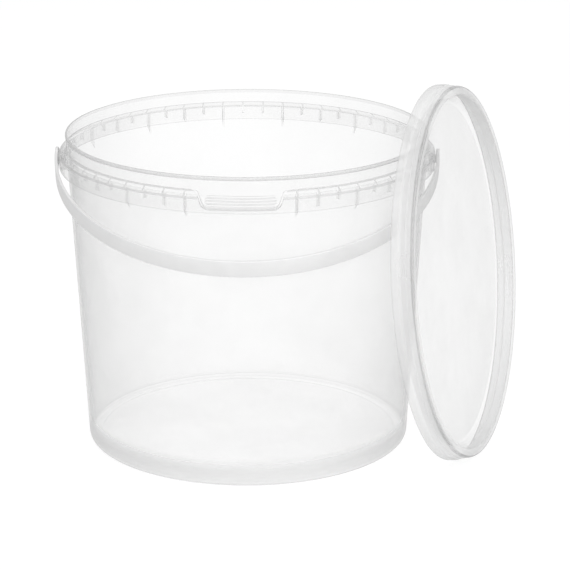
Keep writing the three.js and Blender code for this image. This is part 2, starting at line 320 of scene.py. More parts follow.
def joined(first: Mesh, second: Mesh, how: Joining) -> Mesh:
    """Joins two closed meshes into a third, and frees both."""
    body = join(as_object(first, "joined"), second, how)
    bm = bmesh.new()
    bm.from_mesh(body.data)
    mesh = body.data
    bpy.data.objects.remove(body)
    bpy.data.meshes.remove(mesh)
    return bm


def finish_piece(obj: bpy.types.Object, materials: dict[Zone, bpy.types.Material]) -> bpy.types.Object:
    """Scales a piece's mesh to metres, smooths its shading between its sharp edges and dresses it.

    Args:
        obj: The piece, with its mesh in millimetres.
        materials: The material of each zone. A zone without one takes the wall's.

    Returns:
        The piece.
    """
    bm = bmesh.new()
    bm.from_mesh(obj.data)
    face_outwards(bm)
    bmesh.ops.scale(bm, vec=(MM, MM, MM), verts=bm.verts)
    bm.to_mesh(obj.data)
    bm.free()
    obj.data.shade_smooth()
    obj.data.set_sharp_from_angle(angle=SHARP_ANGLE)
    zones = [face.material_index for face in obj.data.polygons]
    dressed = list(materials)
    slots = [dressed.index(zone) if zone in dressed else 0 for zone in Zone]
    obj.data.materials.clear()
    for material in materials.values():
        obj.data.materials.append(material)
    obj.data.polygons.foreach_set("material_index", [slots[zone] for zone in zones])
    return obj


# Finishes


def linear(code: str) -> tuple[float, float, float, float]:
    """Turns an sRGB hex colour into the linear colour that a shader takes."""
    parts = [int(code[i : i + 2], 16) / 255 for i in (1, 3, 5)]
    values = [p / 12.92 if p <= 0.04045 else ((p + 0.055) / 1.055) ** 2.4 for p in parts]
    return (*values, 1.0)


def add_node(tree: Tree, kind: str, settings: dict, links: dict) -> bpy.types.Node:
    """Adds a shader node with its settings and links.

    Args:
        tree: The material's or world's node tree.
        kind: The node's type.
        settings: Values by the name of a property, or the name or number of an input.
        links: Output sockets by the name or number of the input that they feed.

    Returns:
        The node.
    """
    node = tree.nodes.new(kind)
    for name, value in settings.items():
        if isinstance(name, int) or name in node.inputs:
            node.inputs[name].default_value = value
        else:
            setattr(node, name, value)
    for name, socket in links.items():
        tree.links.new(socket, node.inputs[name])
    return node


def calculate(tree: Tree, operation: str, *terms: float | Socket, clamp: bool = False) -> Socket:
    """Adds a node that works out a number.

    Args:
        tree: The material's or world's node tree.
        operation: What it does with the terms.
        *terms: Numbers and output sockets, in their order.
        clamp: True if the result is kept between 0 and 1.

    Returns:
        The result.
    """
    numbers = {i: term for i, term in enumerate(terms) if isinstance(term, float)}
    links = {i: term for i, term in enumerate(terms) if i not in numbers}
    settings = {"operation": operation, "use_clamp": clamp, **numbers}
    return add_node(tree, "ShaderNodeMath", settings, links).outputs[0]


def map_range(tree: Tree, value: Socket, source: Point, target: Point, kind: str = "LINEAR") -> Socket:
    """Maps the numbers between two ends onto those between two others."""
    ends = zip(("From Min", "From Max", "To Min", "To Max"), (*source, *target))
    settings = {"interpolation_type": kind, **dict(ends)}
    return add_node(tree, "ShaderNodeMapRange", settings, {"Value": value}).outputs["Result"]


def noise(tree: Tree, place: Socket, size: float, detail: float = 2.0, roughness: float = 0.5) -> Socket:
    """Adds soft noise with spots of a size in millimetres."""
    settings = {"Scale": 1 / (size * MM), "Detail": detail, "Roughness": roughness}
    return add_node(tree, "ShaderNodeTexNoise", settings, {"Vector": place}).outputs["Fac"]


def blend(tree: Tree, first: str, second: str, share: Socket) -> Socket:
    """Mixes two hex colours by the second one's share."""
    settings = {"data_type": "RGBA", 6: linear(first), 7: linear(second)}
    return add_node(tree, "ShaderNodeMix", settings, {0: share}).outputs[2]


def shine(tree: Tree, pattern: Socket, roughness: float, change: Point) -> Socket:
    """Lets a roughness follow a pattern, from the least to the most that it changes by."""
    least, most = change
    return map_range(tree, pattern, (0.0, 1.0), (roughness + least, roughness + most))


def satin(tree: Tree, place: Socket, size: float, depth: float, strength: float) -> Socket:
    """Adds a mould's satin as a bump. It is finer than a pixel, so its grain is drawn coarser.

    Args:
        tree: The material's node tree.
        place: The position on the object.
        size: The size of the grain, in millimetres.
        depth: Its depth, in millimetres.
        strength: The share of it that bends the light.

    Returns:
        The bent normal.
    """
    settings = {"Strength": strength, "Distance": depth * MM}
    return add_node(tree, "ShaderNodeBump", settings, {"Height": noise(tree, place, size)}).outputs["Normal"]


def blank_material(name: str) -> bpy.types.Material:
    """Makes a material with an empty node tree."""
    material = bpy.data.materials.new(name)
    material.use_nodes = True
    material.node_tree.nodes.clear()
    return material


@dataclass(frozen=True)
class MilkyPolypropylene:
    """Natural polypropylene, injection moulded thin: milky, and see-through where it is faced squarely.

    The eye sees a clear pale wall that greys towards its silhouette, because there it looks through
    more plastic, with soft clouds left by the flow of the melt and a satin shine.
    """

    name: str
    colour: str = "#c3c3c3"
    clouded: str = "#cfcfcf"
    haze: float = 0.03
    slope_haze: float = 0.2
    slope_power: float = 1.3
    edge_haze: float = 0.4
    edge_power: float = 7.0
    outer_haze: float = 0.0
    foot_haze: float = 0.0
    foot_top: float = 19.0
    foot_full: float = 9.0
    foot_bottom: float = 1.0
    foot_least: float = 0.7
    cloud_size: float = 46.0
    cloud_detail: float = 3.0
    cloud_roughness: float = 0.45
    cloud_range: Point = (0.35, 0.65)
    cloud_haze: float = 0.012
    grain_size: float = 0.9
    grain_depth: float = 0.02
    grain_strength: float = 0.25
    roughness: float = 0.3
    roughness_change: Point = (-0.05, 0.08)
    refraction: float = 1.49

    def outer_film(self, tree: Tree, place: Socket) -> Socket:
        """Gives the haze that shows from outside alone, where the eye looks along thick plastic.

        Args:
            tree: The material's node tree.
            place: The position on the object.

        Returns:
            The haze, with the foot's share fading out above its fullest height and a little below it.
        """
        height = add_node(tree, "ShaderNodeSeparateXYZ", {}, {0: place}).outputs["Z"]
        above, below = (
            map_range(tree, height, (self.foot_full * MM, end * MM), (1.0, least), "SMOOTHSTEP")
            for end, least in ((self.foot_top, 0.0), (self.foot_bottom, self.foot_least))
        )
        foot = calculate(tree, "MULTIPLY", above, below)
        film = calculate(tree, "MULTIPLY_ADD", foot, self.foot_haze, self.outer_haze)
        inside = add_node(tree, "ShaderNodeNewGeometry", {}, {}).outputs["Backfacing"]
        outside = calculate(tree, "SUBTRACT", 1.0, inside)
        return calculate(tree, "MULTIPLY", film, outside)

    def material(self) -> bpy.types.Material:
        """Builds the material."""
        made = blank_material(self.name)
        tree = made.node_tree
        place = add_node(tree, "ShaderNodeTexCoord", {}, {}).outputs["Object"]
        clouds = noise(tree, place, self.cloud_size, self.cloud_detail, self.cloud_roughness)
        slope = add_node(tree, "ShaderNodeLayerWeight", {"Blend": 0.5}, {}).outputs["Facing"]
        sloped, silhouette = (
            calculate(tree, "MULTIPLY", calculate(tree, "POWER", slope, power), amount)
            for amount, power in (
                (self.slope_haze, self.slope_power),
                (self.edge_haze, self.edge_power),
            )
        )
        film = calculate(tree, "ADD", sloped, silhouette)
        if self.foot_haze or self.outer_haze:
            film = calculate(tree, "ADD", film, self.outer_film(tree, place))
        hazes = (self.haze - self.cloud_haze, self.haze + self.cloud_haze)
        cloudy = map_range(tree, clouds, self.cloud_range, hazes)
        surface = add_node(
            tree,
            "ShaderNodeBsdfPrincipled",
            {"IOR": self.refraction},
            {
                "Base Color": blend(tree, self.colour, self.clouded, clouds),
                "Alpha": calculate(tree, "ADD", film, cloudy, clamp=True),
                "Roughness": shine(tree, clouds, self.roughness, self.roughness_change),
                "Normal": satin(tree, place, self.grain_size, self.grain_depth, self.grain_strength),
            },
        )
        add_node(tree, "ShaderNodeOutputMaterial", {}, {"Surface": surface.outputs[0]})
        return made


@dataclass(frozen=True)
class WhitePolyethylene:
    """White polyethylene strap, moulded: opaque, with a soft waxy shine and faint flow."""

    name: str
    colour: str = "#d1d1d1"
    flow_colour: str = "#d9d9d9"
    flow_size: float = 9.0
    roughness: float = 0.42
    roughness_change: Point = (-0.06, 0.06)
    grain_size: float = 0.8
    grain_depth: float = 0.02
    grain_strength: float = 0.3
    refraction: float = 1.51

    def material(self) -> bpy.types.Material:
        """Builds the material."""
        made = blank_material(self.name)
        tree = made.node_tree
        place = add_node(tree, "ShaderNodeTexCoord", {}, {}).outputs["Object"]
        flow = noise(tree, place, self.flow_size)
        surface = add_node(
            tree,
            "ShaderNodeBsdfPrincipled",
            {"IOR": self.refraction},
            {
                "Base Color": blend(tree, self.colour, self.flow_colour, flow),
                "Roughness": shine(tree, flow, self.roughness, self.roughness_change),
                "Normal": satin(tree, place, self.grain_size, self.grain_depth, self.grain_strength),
            },
        )
        add_node(tree, "ShaderNodeOutputMaterial", {}, {"Surface": surface.outputs[0]})
        return made


# Pail


class Rib(Enum):
    """The three lengths of rib under the flange."""

    LONG = "long"
    MEDIUM = "medium"
    SHORT = "short"


@dataclass
class Pail:
    """The pail's wall, base, rim, ribbed flange, pry pocket and ears, as one moulding."""

    finishes: dict[Zone, MilkyPolypropylene]
    height: float = 191.0
    wall: float = 1.3
    base_radius: float = 98.3
    collar_radius: float = 108.6
    base_thickness: float = 1.4
    foot_height: float = 1.0
    foot_width: float = 4.0
    heel_round: float = 3.2
    corner_round: float = 1.2
    bead_proud: float = 0.7
    bead_height: float = 2.2
    collar_height: float = 8.3
    land_width: float = 1.1
    flange_reach: float = 3.5
    flange_drop: float = 3.4
    skirt_height: float = 8.7
    skirt_draft: float = 0.2
    rib_count: int = 54
    rib_thickness: float = 1.0
    rib_round: float = 0.2
    rib_ends: dict[Rib, Point] = field(
        default_factory=lambda: {Rib.LONG: (-4.2, 1.4), Rib.MEDIUM: (0.9, 2.6), Rib.SHORT: (4.7, 4.7)}
    )
    pocket_top: float = 48.4
    pocket_bottom: float = 42.0
    pocket_depth: float = 9.5
    pocket_corner: float = 3.0
    pocket_lip: float = 1.8
    pocket_wall: float = 1.2
    grip_width: float = 42.0
    grip_ridges: int = 4
    ridge_height: float = 1.1
    ridge_pitch: float = 1.75
    ridge_proud: float = 0.9
    ear_width: float = 24.0
    ear_below: float = 2.0
    ear_corner: float = 3.0
    hinge_rise: float = 3.6
    pin_radius: float = 2.6
    head_radius: float = 3.6
    head_thickness: float = 1.6
    pin_clearance: float = 0.3
    overlap: float = 0.3
    shade_line_reach: float = 0.7
    rib_line_proud: float = 0.12
    segments: int = 288
    wall_rows: int = 6

    def __post_init__(self) -> None:
        """Works out the heights and radii that follow from the sizes."""
        self.flange_top = self.height - self.collar_height
        self.flange_edge = self.flange_top - self.flange_drop
        self.skirt_edge = self.flange_edge - self.skirt_height
        self.land_radius = self.collar_radius + self.land_width
        self.flange_radius = self.land_radius + self.flange_reach
        self.skirt_radius = self.flange_radius - self.skirt_draft
        self.skirt_inner = self.skirt_radius - self.wall
        self.floor = self.foot_height + self.base_thickness
        self.hinge_height = self.skirt_edge + self.hinge_rise
        self.pocket_floor = self.flange_top - self.pocket_depth
        self.head_outer = self.skirt_inner - self.pin_clearance
        self.head_inner = self.head_outer - self.head_thickness

    def wall_radius(self, z: float) -> float:
        """Gives the wall's outer radius at a height."""
        share = min(z / (self.flange_edge + self.wall), 1)
        return self.base_radius + (self.collar_radius - self.base_radius) * share

    def wall_line(self, start: float, end: float, inset: float) -> list[Corner]:
        """Lists points on the wall between two heights, without the ends."""
        heights = [start + (end - start) * i / self.wall_rows for i in range(1, self.wall_rows)]
        return [(self.wall_radius(z) - inset, z, 0.0) for z in heights]

    def shell_profile(self) -> list[Point]:
        """Draws the section from the underside round the heel, flange and rim to the floor inside."""
        heel = self.wall_radius(0)
        foot_inner = heel - self.heel_round - self.foot_width
        under = self.flange_edge + self.wall
        bead = self.collar_radius + self.bead_proud
        inner = self.collar_radius - self.wall
        bead_bottom = self.height - self.bead_height
        corners = [
            (0, self.foot_height, 0),
            (foot_inner - self.foot_height, self.foot_height, 0.5),
            (foot_inner, 0, 0.5),
            (heel, 0, self.heel_round),
            *self.wall_line(0, under, 0),
            (self.wall_radius(under), under, 0.8),
            (self.skirt_inner, self.flange_edge - self.wall / 2, 0.7),
            (self.skirt_inner, self.skirt_edge, 0.3),
            (self.skirt_radius, self.skirt_edge, 0.4),
            (self.flange_radius, self.flange_edge, 0.8),
            (self.land_radius, self.flange_top, 0.6),
            (self.collar_radius, self.flange_top, 0.4),
            (self.collar_radius, bead_bottom, 0.3),
            (bead, bead_bottom + self.bead_proud, 0.4),
            (bead, self.height, 0.6),
            (inner, self.height, 0.6),
            (inner, self.flange_top, 0.8),
            *self.wall_line(self.flange_top, self.floor, self.wall),
            (self.wall_radius(self.floor) - self.wall, self.floor, self.corner_round),
            (0, self.floor, 0),
        ]
        return rounded(corners, closed=False)

    def is_thick(self, face: Face) -> bool:
        """Tells whether a face is on the skirt's end or in the corner round the floor."""
        radius, z = section_place(face)
        on_skirt_end = radius > self.collar_radius and self.floor < z < self.skirt_edge + self.wall / 4
        corner = self.base_radius - self.wall
        is_low = self.floor < z < self.floor + self.corner_round
        in_corner = is_low and corner - self.corner_round < radius < corner + self.wall / 2
        return on_skirt_end or in_corner

    def is_painted_shade_line(self, face: Face) -> bool:
        """Tells whether a face takes the dark finish of painted shade: the bead, or an outer corner of the
        flange.
        """
        radius, z = section_place(face)
        on_bead = z > self.height - self.bead_height and radius > self.collar_radius - self.wall / 2
        corners = (
            (self.flange_radius, self.flange_edge),
            (self.land_radius, self.flange_top),
            (self.collar_radius, self.flange_top),
        )
        return on_bead or any(math.dist((radius, z), corner) < self.shade_line_reach for corner in corners)

    def is_foot(self, face: Face) -> bool:
        """Tells whether a face is on the heel, or on the outside of the wall's lowest row."""
        radius, z = section_place(face)
        on_heel = z < self.floor and radius > self.base_radius - self.heel_round
        on_row = z < (self.flange_edge + self.wall) / self.wall_rows
        return on_heel or (on_row and radius > self.wall_radius(z) - self.wall / 2)

    def is_base(self, face: Face) -> bool:
        """Tells whether a face is on the base, inside the foot."""
        radius, z = section_place(face)
        return z < self.floor + self.wall and radius < self.base_radius - self.corner_round - self.wall

    def flange_fill(self, bottom: float) -> Mesh:
        """Fills the room between the wall and the skirt's outer face, down to a height."""
        profile = [
            (self.wall_radius(bottom) - self.overlap, bottom),
            (self.skirt_radius, bottom),
            (self.skirt_radius, self.skirt_edge),
            (self.flange_radius, self.flange_edge),
            (self.land_radius, self.flange_top),
            (self.collar_radius - self.overlap, self.flange_top),
        ]
        return turned(profile, self.segments, ring=True)

    def fin(self, section: list[Point]) -> Mesh:
        """Makes a slab as thick as a rib, at the right of the pail, of a section as radius and height."""
        half = self.rib_thickness / 2
        return extruded([Vector((r, -half, z)) for r, z in section], Vector((0, 2 * half, 0)))

    def rib(self, kind: Rib, angle: float) -> Mesh:
        """Makes one rib.

        Args:
            kind: Its length.
            angle: Where it stands, in degrees from the front towards the right.

        Returns:
            A closed mesh.
        """
        inner_end, outer_end = (self.skirt_edge + rise for rise in self.rib_ends[kind])
        outer = self.skirt_inner + self.overlap
        top = self.flange_edge + self.wall + self.overlap
        section = [
            (self.wall_radius(inner_end) - self.overlap, inner_end),
            (outer, outer_end),
            (outer, self.flange_edge - self.overlap),
            (self.wall_radius(self.flange_edge) - self.overlap, top),
        ]
        bm = self.fin(section)
        low = [e for e in bm.edges if all(v.co.z < self.flange_edge - self.wall for v in e.verts)]
        across = self.rib_thickness / 2
        bevel(bm, [e for e in low if abs(e.verts[0].co.y - e.verts[1].co.y) < across], self.rib_round)
        return mark(face_outwards(turn_from_front(bm, angle)), Zone.THICK)

    def rib_shade_line(self, angle: float) -> Mesh:
        """Makes the faint dark line on the flange's slope where a rib stands behind it: a thin slab in the
        dark finish, painted shade.
        """
        slope = (self.land_radius - self.flange_radius) / self.flange_drop
        low, high = self.overlap, self.flange_drop - self.overlap
        section = [
            (self.flange_radius + slope * rise + proud, self.flange_edge + rise)
            for rise, proud in (
                (low, -self.overlap),
                (low, self.rib_line_proud),
                (high, self.rib_line_proud),
                (high, -self.overlap),
            )
        ]
        return mark(turn_from_front(self.fin(section), angle), Zone.EDGE)

    def rib_places(self) -> list[tuple[Rib, float]]:
        """Lists each rib's kind and angle: none stands in the pocket or in an ear."""
        pitch = 360 / self.rib_count
        half_pocket = self.pocket_top / 2 + self.pocket_lip + self.pocket_wall
        pocket_angle = math.asin(half_pocket / self.flange_radius) / DEGREE
        ear_angle = math.asin(self.ear_width / 2 / self.skirt_radius) / DEGREE
        beside_pocket = math.ceil(pocket_angle / pitch - 0.5)
        order = (Rib.SHORT, Rib.LONG, Rib.SHORT, Rib.MEDIUM)
        places = []
        for i in range(self.rib_count):
            angle = (i + 0.5) * pitch
            folded = min(angle, 360 - angle)
            if folded < pocket_angle or abs(folded - 90) < ear_angle:
                continue
            kind = order[int((180 - folded) / pitch) % len(order)]
            if int(folded / pitch) == beside_pocket:
                kind = Rib.LONG
            places.append((kind, angle))
        return places

    def pocket_outline(self, grow: float) -> list[Point]:
        """Draws the pocket as seen from the front, grown on every side by a wall or not."""
        top = self.pocket_top / 2 + grow
        bottom = self.pocket_bottom / 2 + grow
        low = self.pocket_floor - grow
        corner = self.pocket_corner + grow
        lip = self.pocket_lip
        above = self.flange_top + CUT_MARGIN
        corners = [
            (-top - 2 * lip, above, 0),
            (-top - 2 * lip, self.flange_top, 0),
            (-top, self.flange_top, lip),
            (-bottom, low, corner),
            (bottom, low, corner),
            (top, self.flange_top, lip),
            (top + 2 * lip, self.flange_top, 0),
            (top + 2 * lip, above, 0),
        ]
        return rounded(corners, closed=True, steps=8)

    def pocket_block(self, grow: float, zone: Zone) -> Mesh:
        """Makes the block that the pocket's outline cuts out of the flange, all in one zone."""
        outline = self.pocket_outline(grow)
        return mark(front_prism(outline, self.base_radius, self.flange_radius + CUT_MARGIN), zone)

    def pocket_cavity(self) -> Mesh:
        """Makes the pocket's room, which ends at the wall behind it. Its walls and floor take the darker
        thick finish, partly for the plastic that the eye looks along there and partly as painted shade in
        the pocket.
        """
        radius = self.collar_radius
        back = turned([(0, 0), (radius, 0), (radius, self.height), (0, self.height)], self.segments)
        return joined(self.pocket_block(0, Zone.THICK), back, Joining.CUT)

    def grip(self) -> Mesh:
        """Makes the thumb grip on the pocket's back: level ridges whose ends follow an oval. The ridges'
        level faces take the dark finish, painted shade along the ridges.
        """
        spread = (self.grip_ridges - 1) * self.ridge_pitch
        middle = self.pocket_floor + self.pocket_depth / 2 - self.ridge_height
        tall = spread / 2 + self.ridge_height
        round_end = self.ridge_height / 2
        ridges = []
        for i in range(self.grip_ridges):
            offset = i * self.ridge_pitch - spread / 2
            z = middle + offset
            inset = tall - math.sqrt(tall**2 - offset**2)
            half = self.grip_width / 2 - inset - self.ridge_height
            outline = arc((half, z), round_end, -90, 90) + arc((-half, z), round_end, 90, 270)
            bar = front_prism(outline, self.base_radius, self.flange_radius)
            low, high = z - self.ridge_pitch, z + self.ridge_pitch
            back, front = self.collar_radius - self.overlap, self.collar_radius + self.ridge_proud
            band = turned([(back, low), (front, low), (front, high), (back, high)], self.segments, ring=True)
            ridges.append(joined(bar, band, Joining.KEEP_COMMON))
        return mark(merge_meshes(ridges), Zone.EDGE, lambda face: abs(face.normal.z) > LEVEL_NORMAL)

    def ear(self, side: int) -> Mesh:
        """Makes the boss between the wall and the skirt that carries one of the handle's pins."""
        bottom = self.skirt_edge - self.ear_below
        half = self.ear_width / 2
        corners = [
            (-half, self.flange_top, 0),
            (-half, bottom, self.ear_corner),
            (half, bottom, self.ear_corner),
            (half, self.flange_top, 0),
        ]
        block = front_prism(rounded(corners, closed=True), self.base_radius, self.flange_radius + CUT_MARGIN)
        bmesh.ops.rotate(block, verts=block.verts, matrix=Matrix.Rotation(side * math.pi / 2, 3, "Z"))
        return mark(joined(self.flange_fill(bottom), block, Joining.KEEP_COMMON), Zone.THICK)

    def ear_hole(self, side: int) -> Mesh:
        """Makes the stepped hole that a pin and its head turn in."""
        inner = self.head_inner - self.pin_clearance
        outer = self.flange_radius + CUT_MARGIN
        throat = side_bar(self.pin_radius + self.pin_clearance, inner, outer, side)
        room = side_bar(self.head_radius + self.pin_clearance, inner, self.skirt_inner, side)
        hole = joined(throat, room, Joining.ADD)
        bmesh.ops.translate(hole, verts=hole.verts, vec=(0, 0, self.hinge_height))
        return hole

    def build(self) -> bpy.types.Object:
        """Builds the whole moulding.

        Returns:
            The finished piece, riding on the pail's body.
        """
        shell = turned(self.shell_profile(), self.segments)
        for zone, chosen in (
            (Zone.FOOT, self.is_foot),
            (Zone.THICK, self.is_thick),
            (Zone.PANEL, self.is_base),
            (Zone.EDGE, self.is_painted_shade_line),
        ):
            mark(shell, zone, chosen)
        body = as_object(shell, "pail_shell")
        # The pocket's wall takes the dark finish: painted shade round the pocket.
        block = self.pocket_block(self.pocket_wall, Zone.EDGE)
        liner = joined(self.flange_fill(self.skirt_edge), block, Joining.KEEP_COMMON)
        added = [self.rib(kind, angle) for kind, angle in self.rib_places()]
        added += [self.rib_shade_line(angle) for _, angle in self.rib_places()]
        added += [liner, self.ear(1), self.ear(-1)]
        join(body, merge_meshes(added), Joining.ADD)
        join(body, self.pocket_cavity(), Joining.CUT)
        join(body, self.grip(), Joining.ADD)
        for side in (1, -1):
            join(body, self.ear_hole(side), Joining.CUT)
        finish_piece(body, {zone: finish.material() for zone, finish in self.finishes.items()})
        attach(body, "bucket")
        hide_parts("bucket_body")
        return body


# Handle


@dataclass
class BowHandle:
    """The flat bow, hanging in front of the pail on two headed pins."""

    pail: Pail
    finish: WhitePolyethylene
    clearance: float = 0.8
    thickness: float = 1.8
    width: float = 10.8
    edge_round: float = 0.45
    end_radius: float = 6.0
    rest_gap: float = 0.35
    segments: int = 120
    halvings: int = 40

    def __post_init__(self) -> None:
        """Works out the bow's two radii."""
        self.inner = self.pail.flange_radius + self.clearance
        self.outer = self.inner + self.thickness

    def hang_angle(self) -> float:
        """Finds how far below level the bow's lower edge comes to rest against the wall."""
        low, high = 0.0, math.pi / 2
        for _ in range(self.halvings):
            angle = (low + high) / 2
            reach = self.inner * math.cos(angle) - self.width / 2 * math.sin(angle)
            drop = self.inner * math.sin(angle) + self.width / 2 * math.cos(angle)
            if reach - self.pail.wall_radius(self.pail.hinge_height - drop) > self.rest_gap:
                low = angle
            else:
                high = angle
        return low

    def strap(self) -> Mesh:
        """Makes the half circle of flat strap, level and reaching forward."""
        half = self.width / 2
        edge = self.edge_round
        corners = [
            (self.inner, -half, edge),
            (self.outer, -half, edge),
            (self.outer, half, edge),
            (self.inner, half, edge),
        ]
        bm = bmesh.new()
        section = bm.faces.new([bm.verts.new((r, 0, z)) for r, z in rounded(corners, True, steps=3)])
        bmesh.ops.spin(
            bm, geom=[section], cent=(0, 0, 0), axis=(0, 0, 1), angle=-math.pi, steps=self.segments
        )
        return face_outwards(bm)

    def build(self) -> bpy.types.Object:
        """Builds the handle at rest.

        Returns:
            The finished piece, riding on the handle's body.
        """
        body = as_object(self.strap(), "bow_handle")
        pail = self.pail
        for side in (1, -1):
            end = side_bar(self.end_radius, self.inner, self.outer, side)
            soften(end, self.edge_round)
            pin = side_bar(pail.pin_radius, pail.head_inner, self.inner + pail.overlap, side)
            head = side_bar(pail.head_radius, pail.head_inner, pail.head_outer, side)
            soften(head, self.edge_round / 2)
            for piece in (end, pin, head):
                join(body, piece, Joining.ADD)
        hang = Matrix.Rotation(self.hang_angle(), 4, "X")
        body.data.transform(Matrix.Translation((0, 0, pail.hinge_height)) @ hang)
        finish_piece(body, {Zone.WALL: self.finish.material()})
        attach(body, "bail")
        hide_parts("bail_handle")
        return body


# Lid


@dataclass
class Lid:
    """The snap lid: a channel that closes over the rim round a panel sunk below it."""

    pail: Pail
    handle: BowHandle
    finishes: dict[Zone, MilkyPolypropylene]
    top_thickness: float = 1.5
    wall: float = 1.2
    bead_clearance: float = 0.9
    seat_gap: float = 0.1
    band_height: float = 4.8
    band_proud: float = 1.0
    shoulder_height: float = 8.4
    shoulder_step: float = 0.4
    edge_round: float = 2.0
    open_edge: float = 0.6
    rim_width: float = 5.4
    recess_depth: float = 10.2
    recess_step_depth: float = 6.4
    recess_slant: float = 2.2
    recess_foot: float = 1.2
    lean: float = 7.35
    turn: float = 17.6
    forward: float = 29.1
    swing_clearance: float = 0.5
    cad_sides: int = 96
    segments: int = 288
    panel_rings: int = 8

    def __post_init__(self) -> None:
        """Works out the heights and radii that follow from the sizes."""
        pail = self.pail
        self.skirt_depth = pail.collar_height + pail.flange_drop - self.seat_gap
        self.height = self.skirt_depth + self.top_thickness
        self.inner = pail.collar_radius + pail.bead_proud + self.bead_clearance
        self.upper_radius = self.inner + self.wall
        self.band_radius = self.upper_radius + self.band_proud
        self.recess_top = self.upper_radius - self.rim_width
        self.recess_step = self.recess_top - self.recess_slant
        self.panel_radius = self.recess_step - self.recess_foot
        self.panel_top = self.height - self.recess_depth
        self.panel_under = self.panel_top - self.wall

    def profile(self) -> list[Point]:
        """Draws the section from the panel's underside round the channel to the panel's top."""
        wall = self.wall
        shoulder = self.upper_radius - self.shoulder_step
        step_height = self.height - self.recess_step_depth
        rings = [self.panel_radius * i / self.panel_rings for i in range(1, self.panel_rings)]
        corners = [
            (0, self.panel_under, 0),
            *[(r, self.panel_under, 0) for r in rings],
            (self.panel_radius + wall / 2, self.panel_under, 0.6),
            (self.panel_radius + wall, self.panel_top, 0.5),
            (self.recess_step + wall, step_height, 0.6),
            (self.recess_top + wall, self.skirt_depth, 0.8),
            (self.inner - self.shoulder_step, self.skirt_depth, 0.8),
            (self.inner, self.shoulder_height, 0.4),
            (self.inner, self.band_height + wall, 0.5),
            (self.inner + self.band_proud, self.band_height, 0.5),
            (self.inner + self.band_proud, wall, 0.4),
            (self.band_radius, 0, 0.3),
            (self.band_radius, self.band_height - self.band_proud / 2, 0.7),
            (self.upper_radius, self.band_height + self.band_proud / 2, 0.7),
            (self.upper_radius, self.shoulder_height, 0.3),
            (shoulder, self.shoulder_height + self.shoulder_step, 0.3),
            (shoulder, self.height, self.edge_round),
            (self.recess_top, self.height, 0.9),
            (self.recess_step, step_height, 0.8),
            (self.panel_radius, self.panel_top + wall, 0.6),
            (self.panel_radius - wall, self.panel_top, 0.8),
            *[(r, self.panel_top, 0) for r in reversed(rings)],
            (0, self.panel_top, 0),
        ]
        return rounded(corners, closed=False)

    def is_panel(self, face: Face) -> bool:
        """Tells whether a face is on the sunk panel or on the slope round it. The slope takes the panel's
        lighter finish, painted light over the shade that falls on it.
        """
        radius, _ = section_place(face)
        return radius < self.recess_top

    def is_painted_shade_line(self, face: Face) -> bool:
        """Tells whether a face takes the dark finish of painted shade: the rounding of the lid's outer edge,
        or its open edge.
        """
        radius, z = section_place(face)
        is_outside = radius > self.upper_radius - self.edge_round
        return z < self.open_edge or (is_outside and z > self.height - self.edge_round)

    def placing(self) -> Matrix:
        """Stands the lid on its skirt's edge, leaning, clear of the handle's whole swing."""
        lean = self.lean * DEGREE
        turn = self.turn * DEGREE
        level = math.cos(lean)
        facing = Vector((level * math.cos(turn), -level * math.sin(turn), math.sin(lean)))
        swing = math.hypot(self.handle.outer, self.handle.width / 2)
        standing = self.band_radius * math.cos(math.pi / self.cad_sides) * level
        needed = swing + self.swing_clearance - self.panel_under
        from_hinge = needed + self.forward * facing.y - (standing - self.pail.hinge_height) * facing.z
        place = Matrix.Translation((from_hinge / facing.x, -self.forward, standing))
        return place @ Matrix.Rotation(-turn, 4, "Z") @ Matrix.Rotation(math.pi / 2 - lean, 4, "Y")

    def build(self) -> bpy.types.Object:
        """Builds the lid where it leans.

        Returns:
            The finished piece, riding on the pail's body.
        """
        cap = turned(self.profile(), self.segments)
        mark(cap, Zone.PANEL, self.is_panel)
        mark(cap, Zone.EDGE, self.is_painted_shade_line)
        body = as_object(cap, "lid_cap")
        body.data.transform(self.placing())
        finish_piece(body, {zone: finish.material() for zone, finish in self.finishes.items()})
        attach(body, "bucket")
        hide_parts("lid")
        return body


# Studio


@dataclass(frozen=True)
class Lamp:
    """A square soft lamp: its place and the length of its side in metres, and its power in watts."""

    name: str
    place: tuple[float, float, float]
    size: float
    power: float


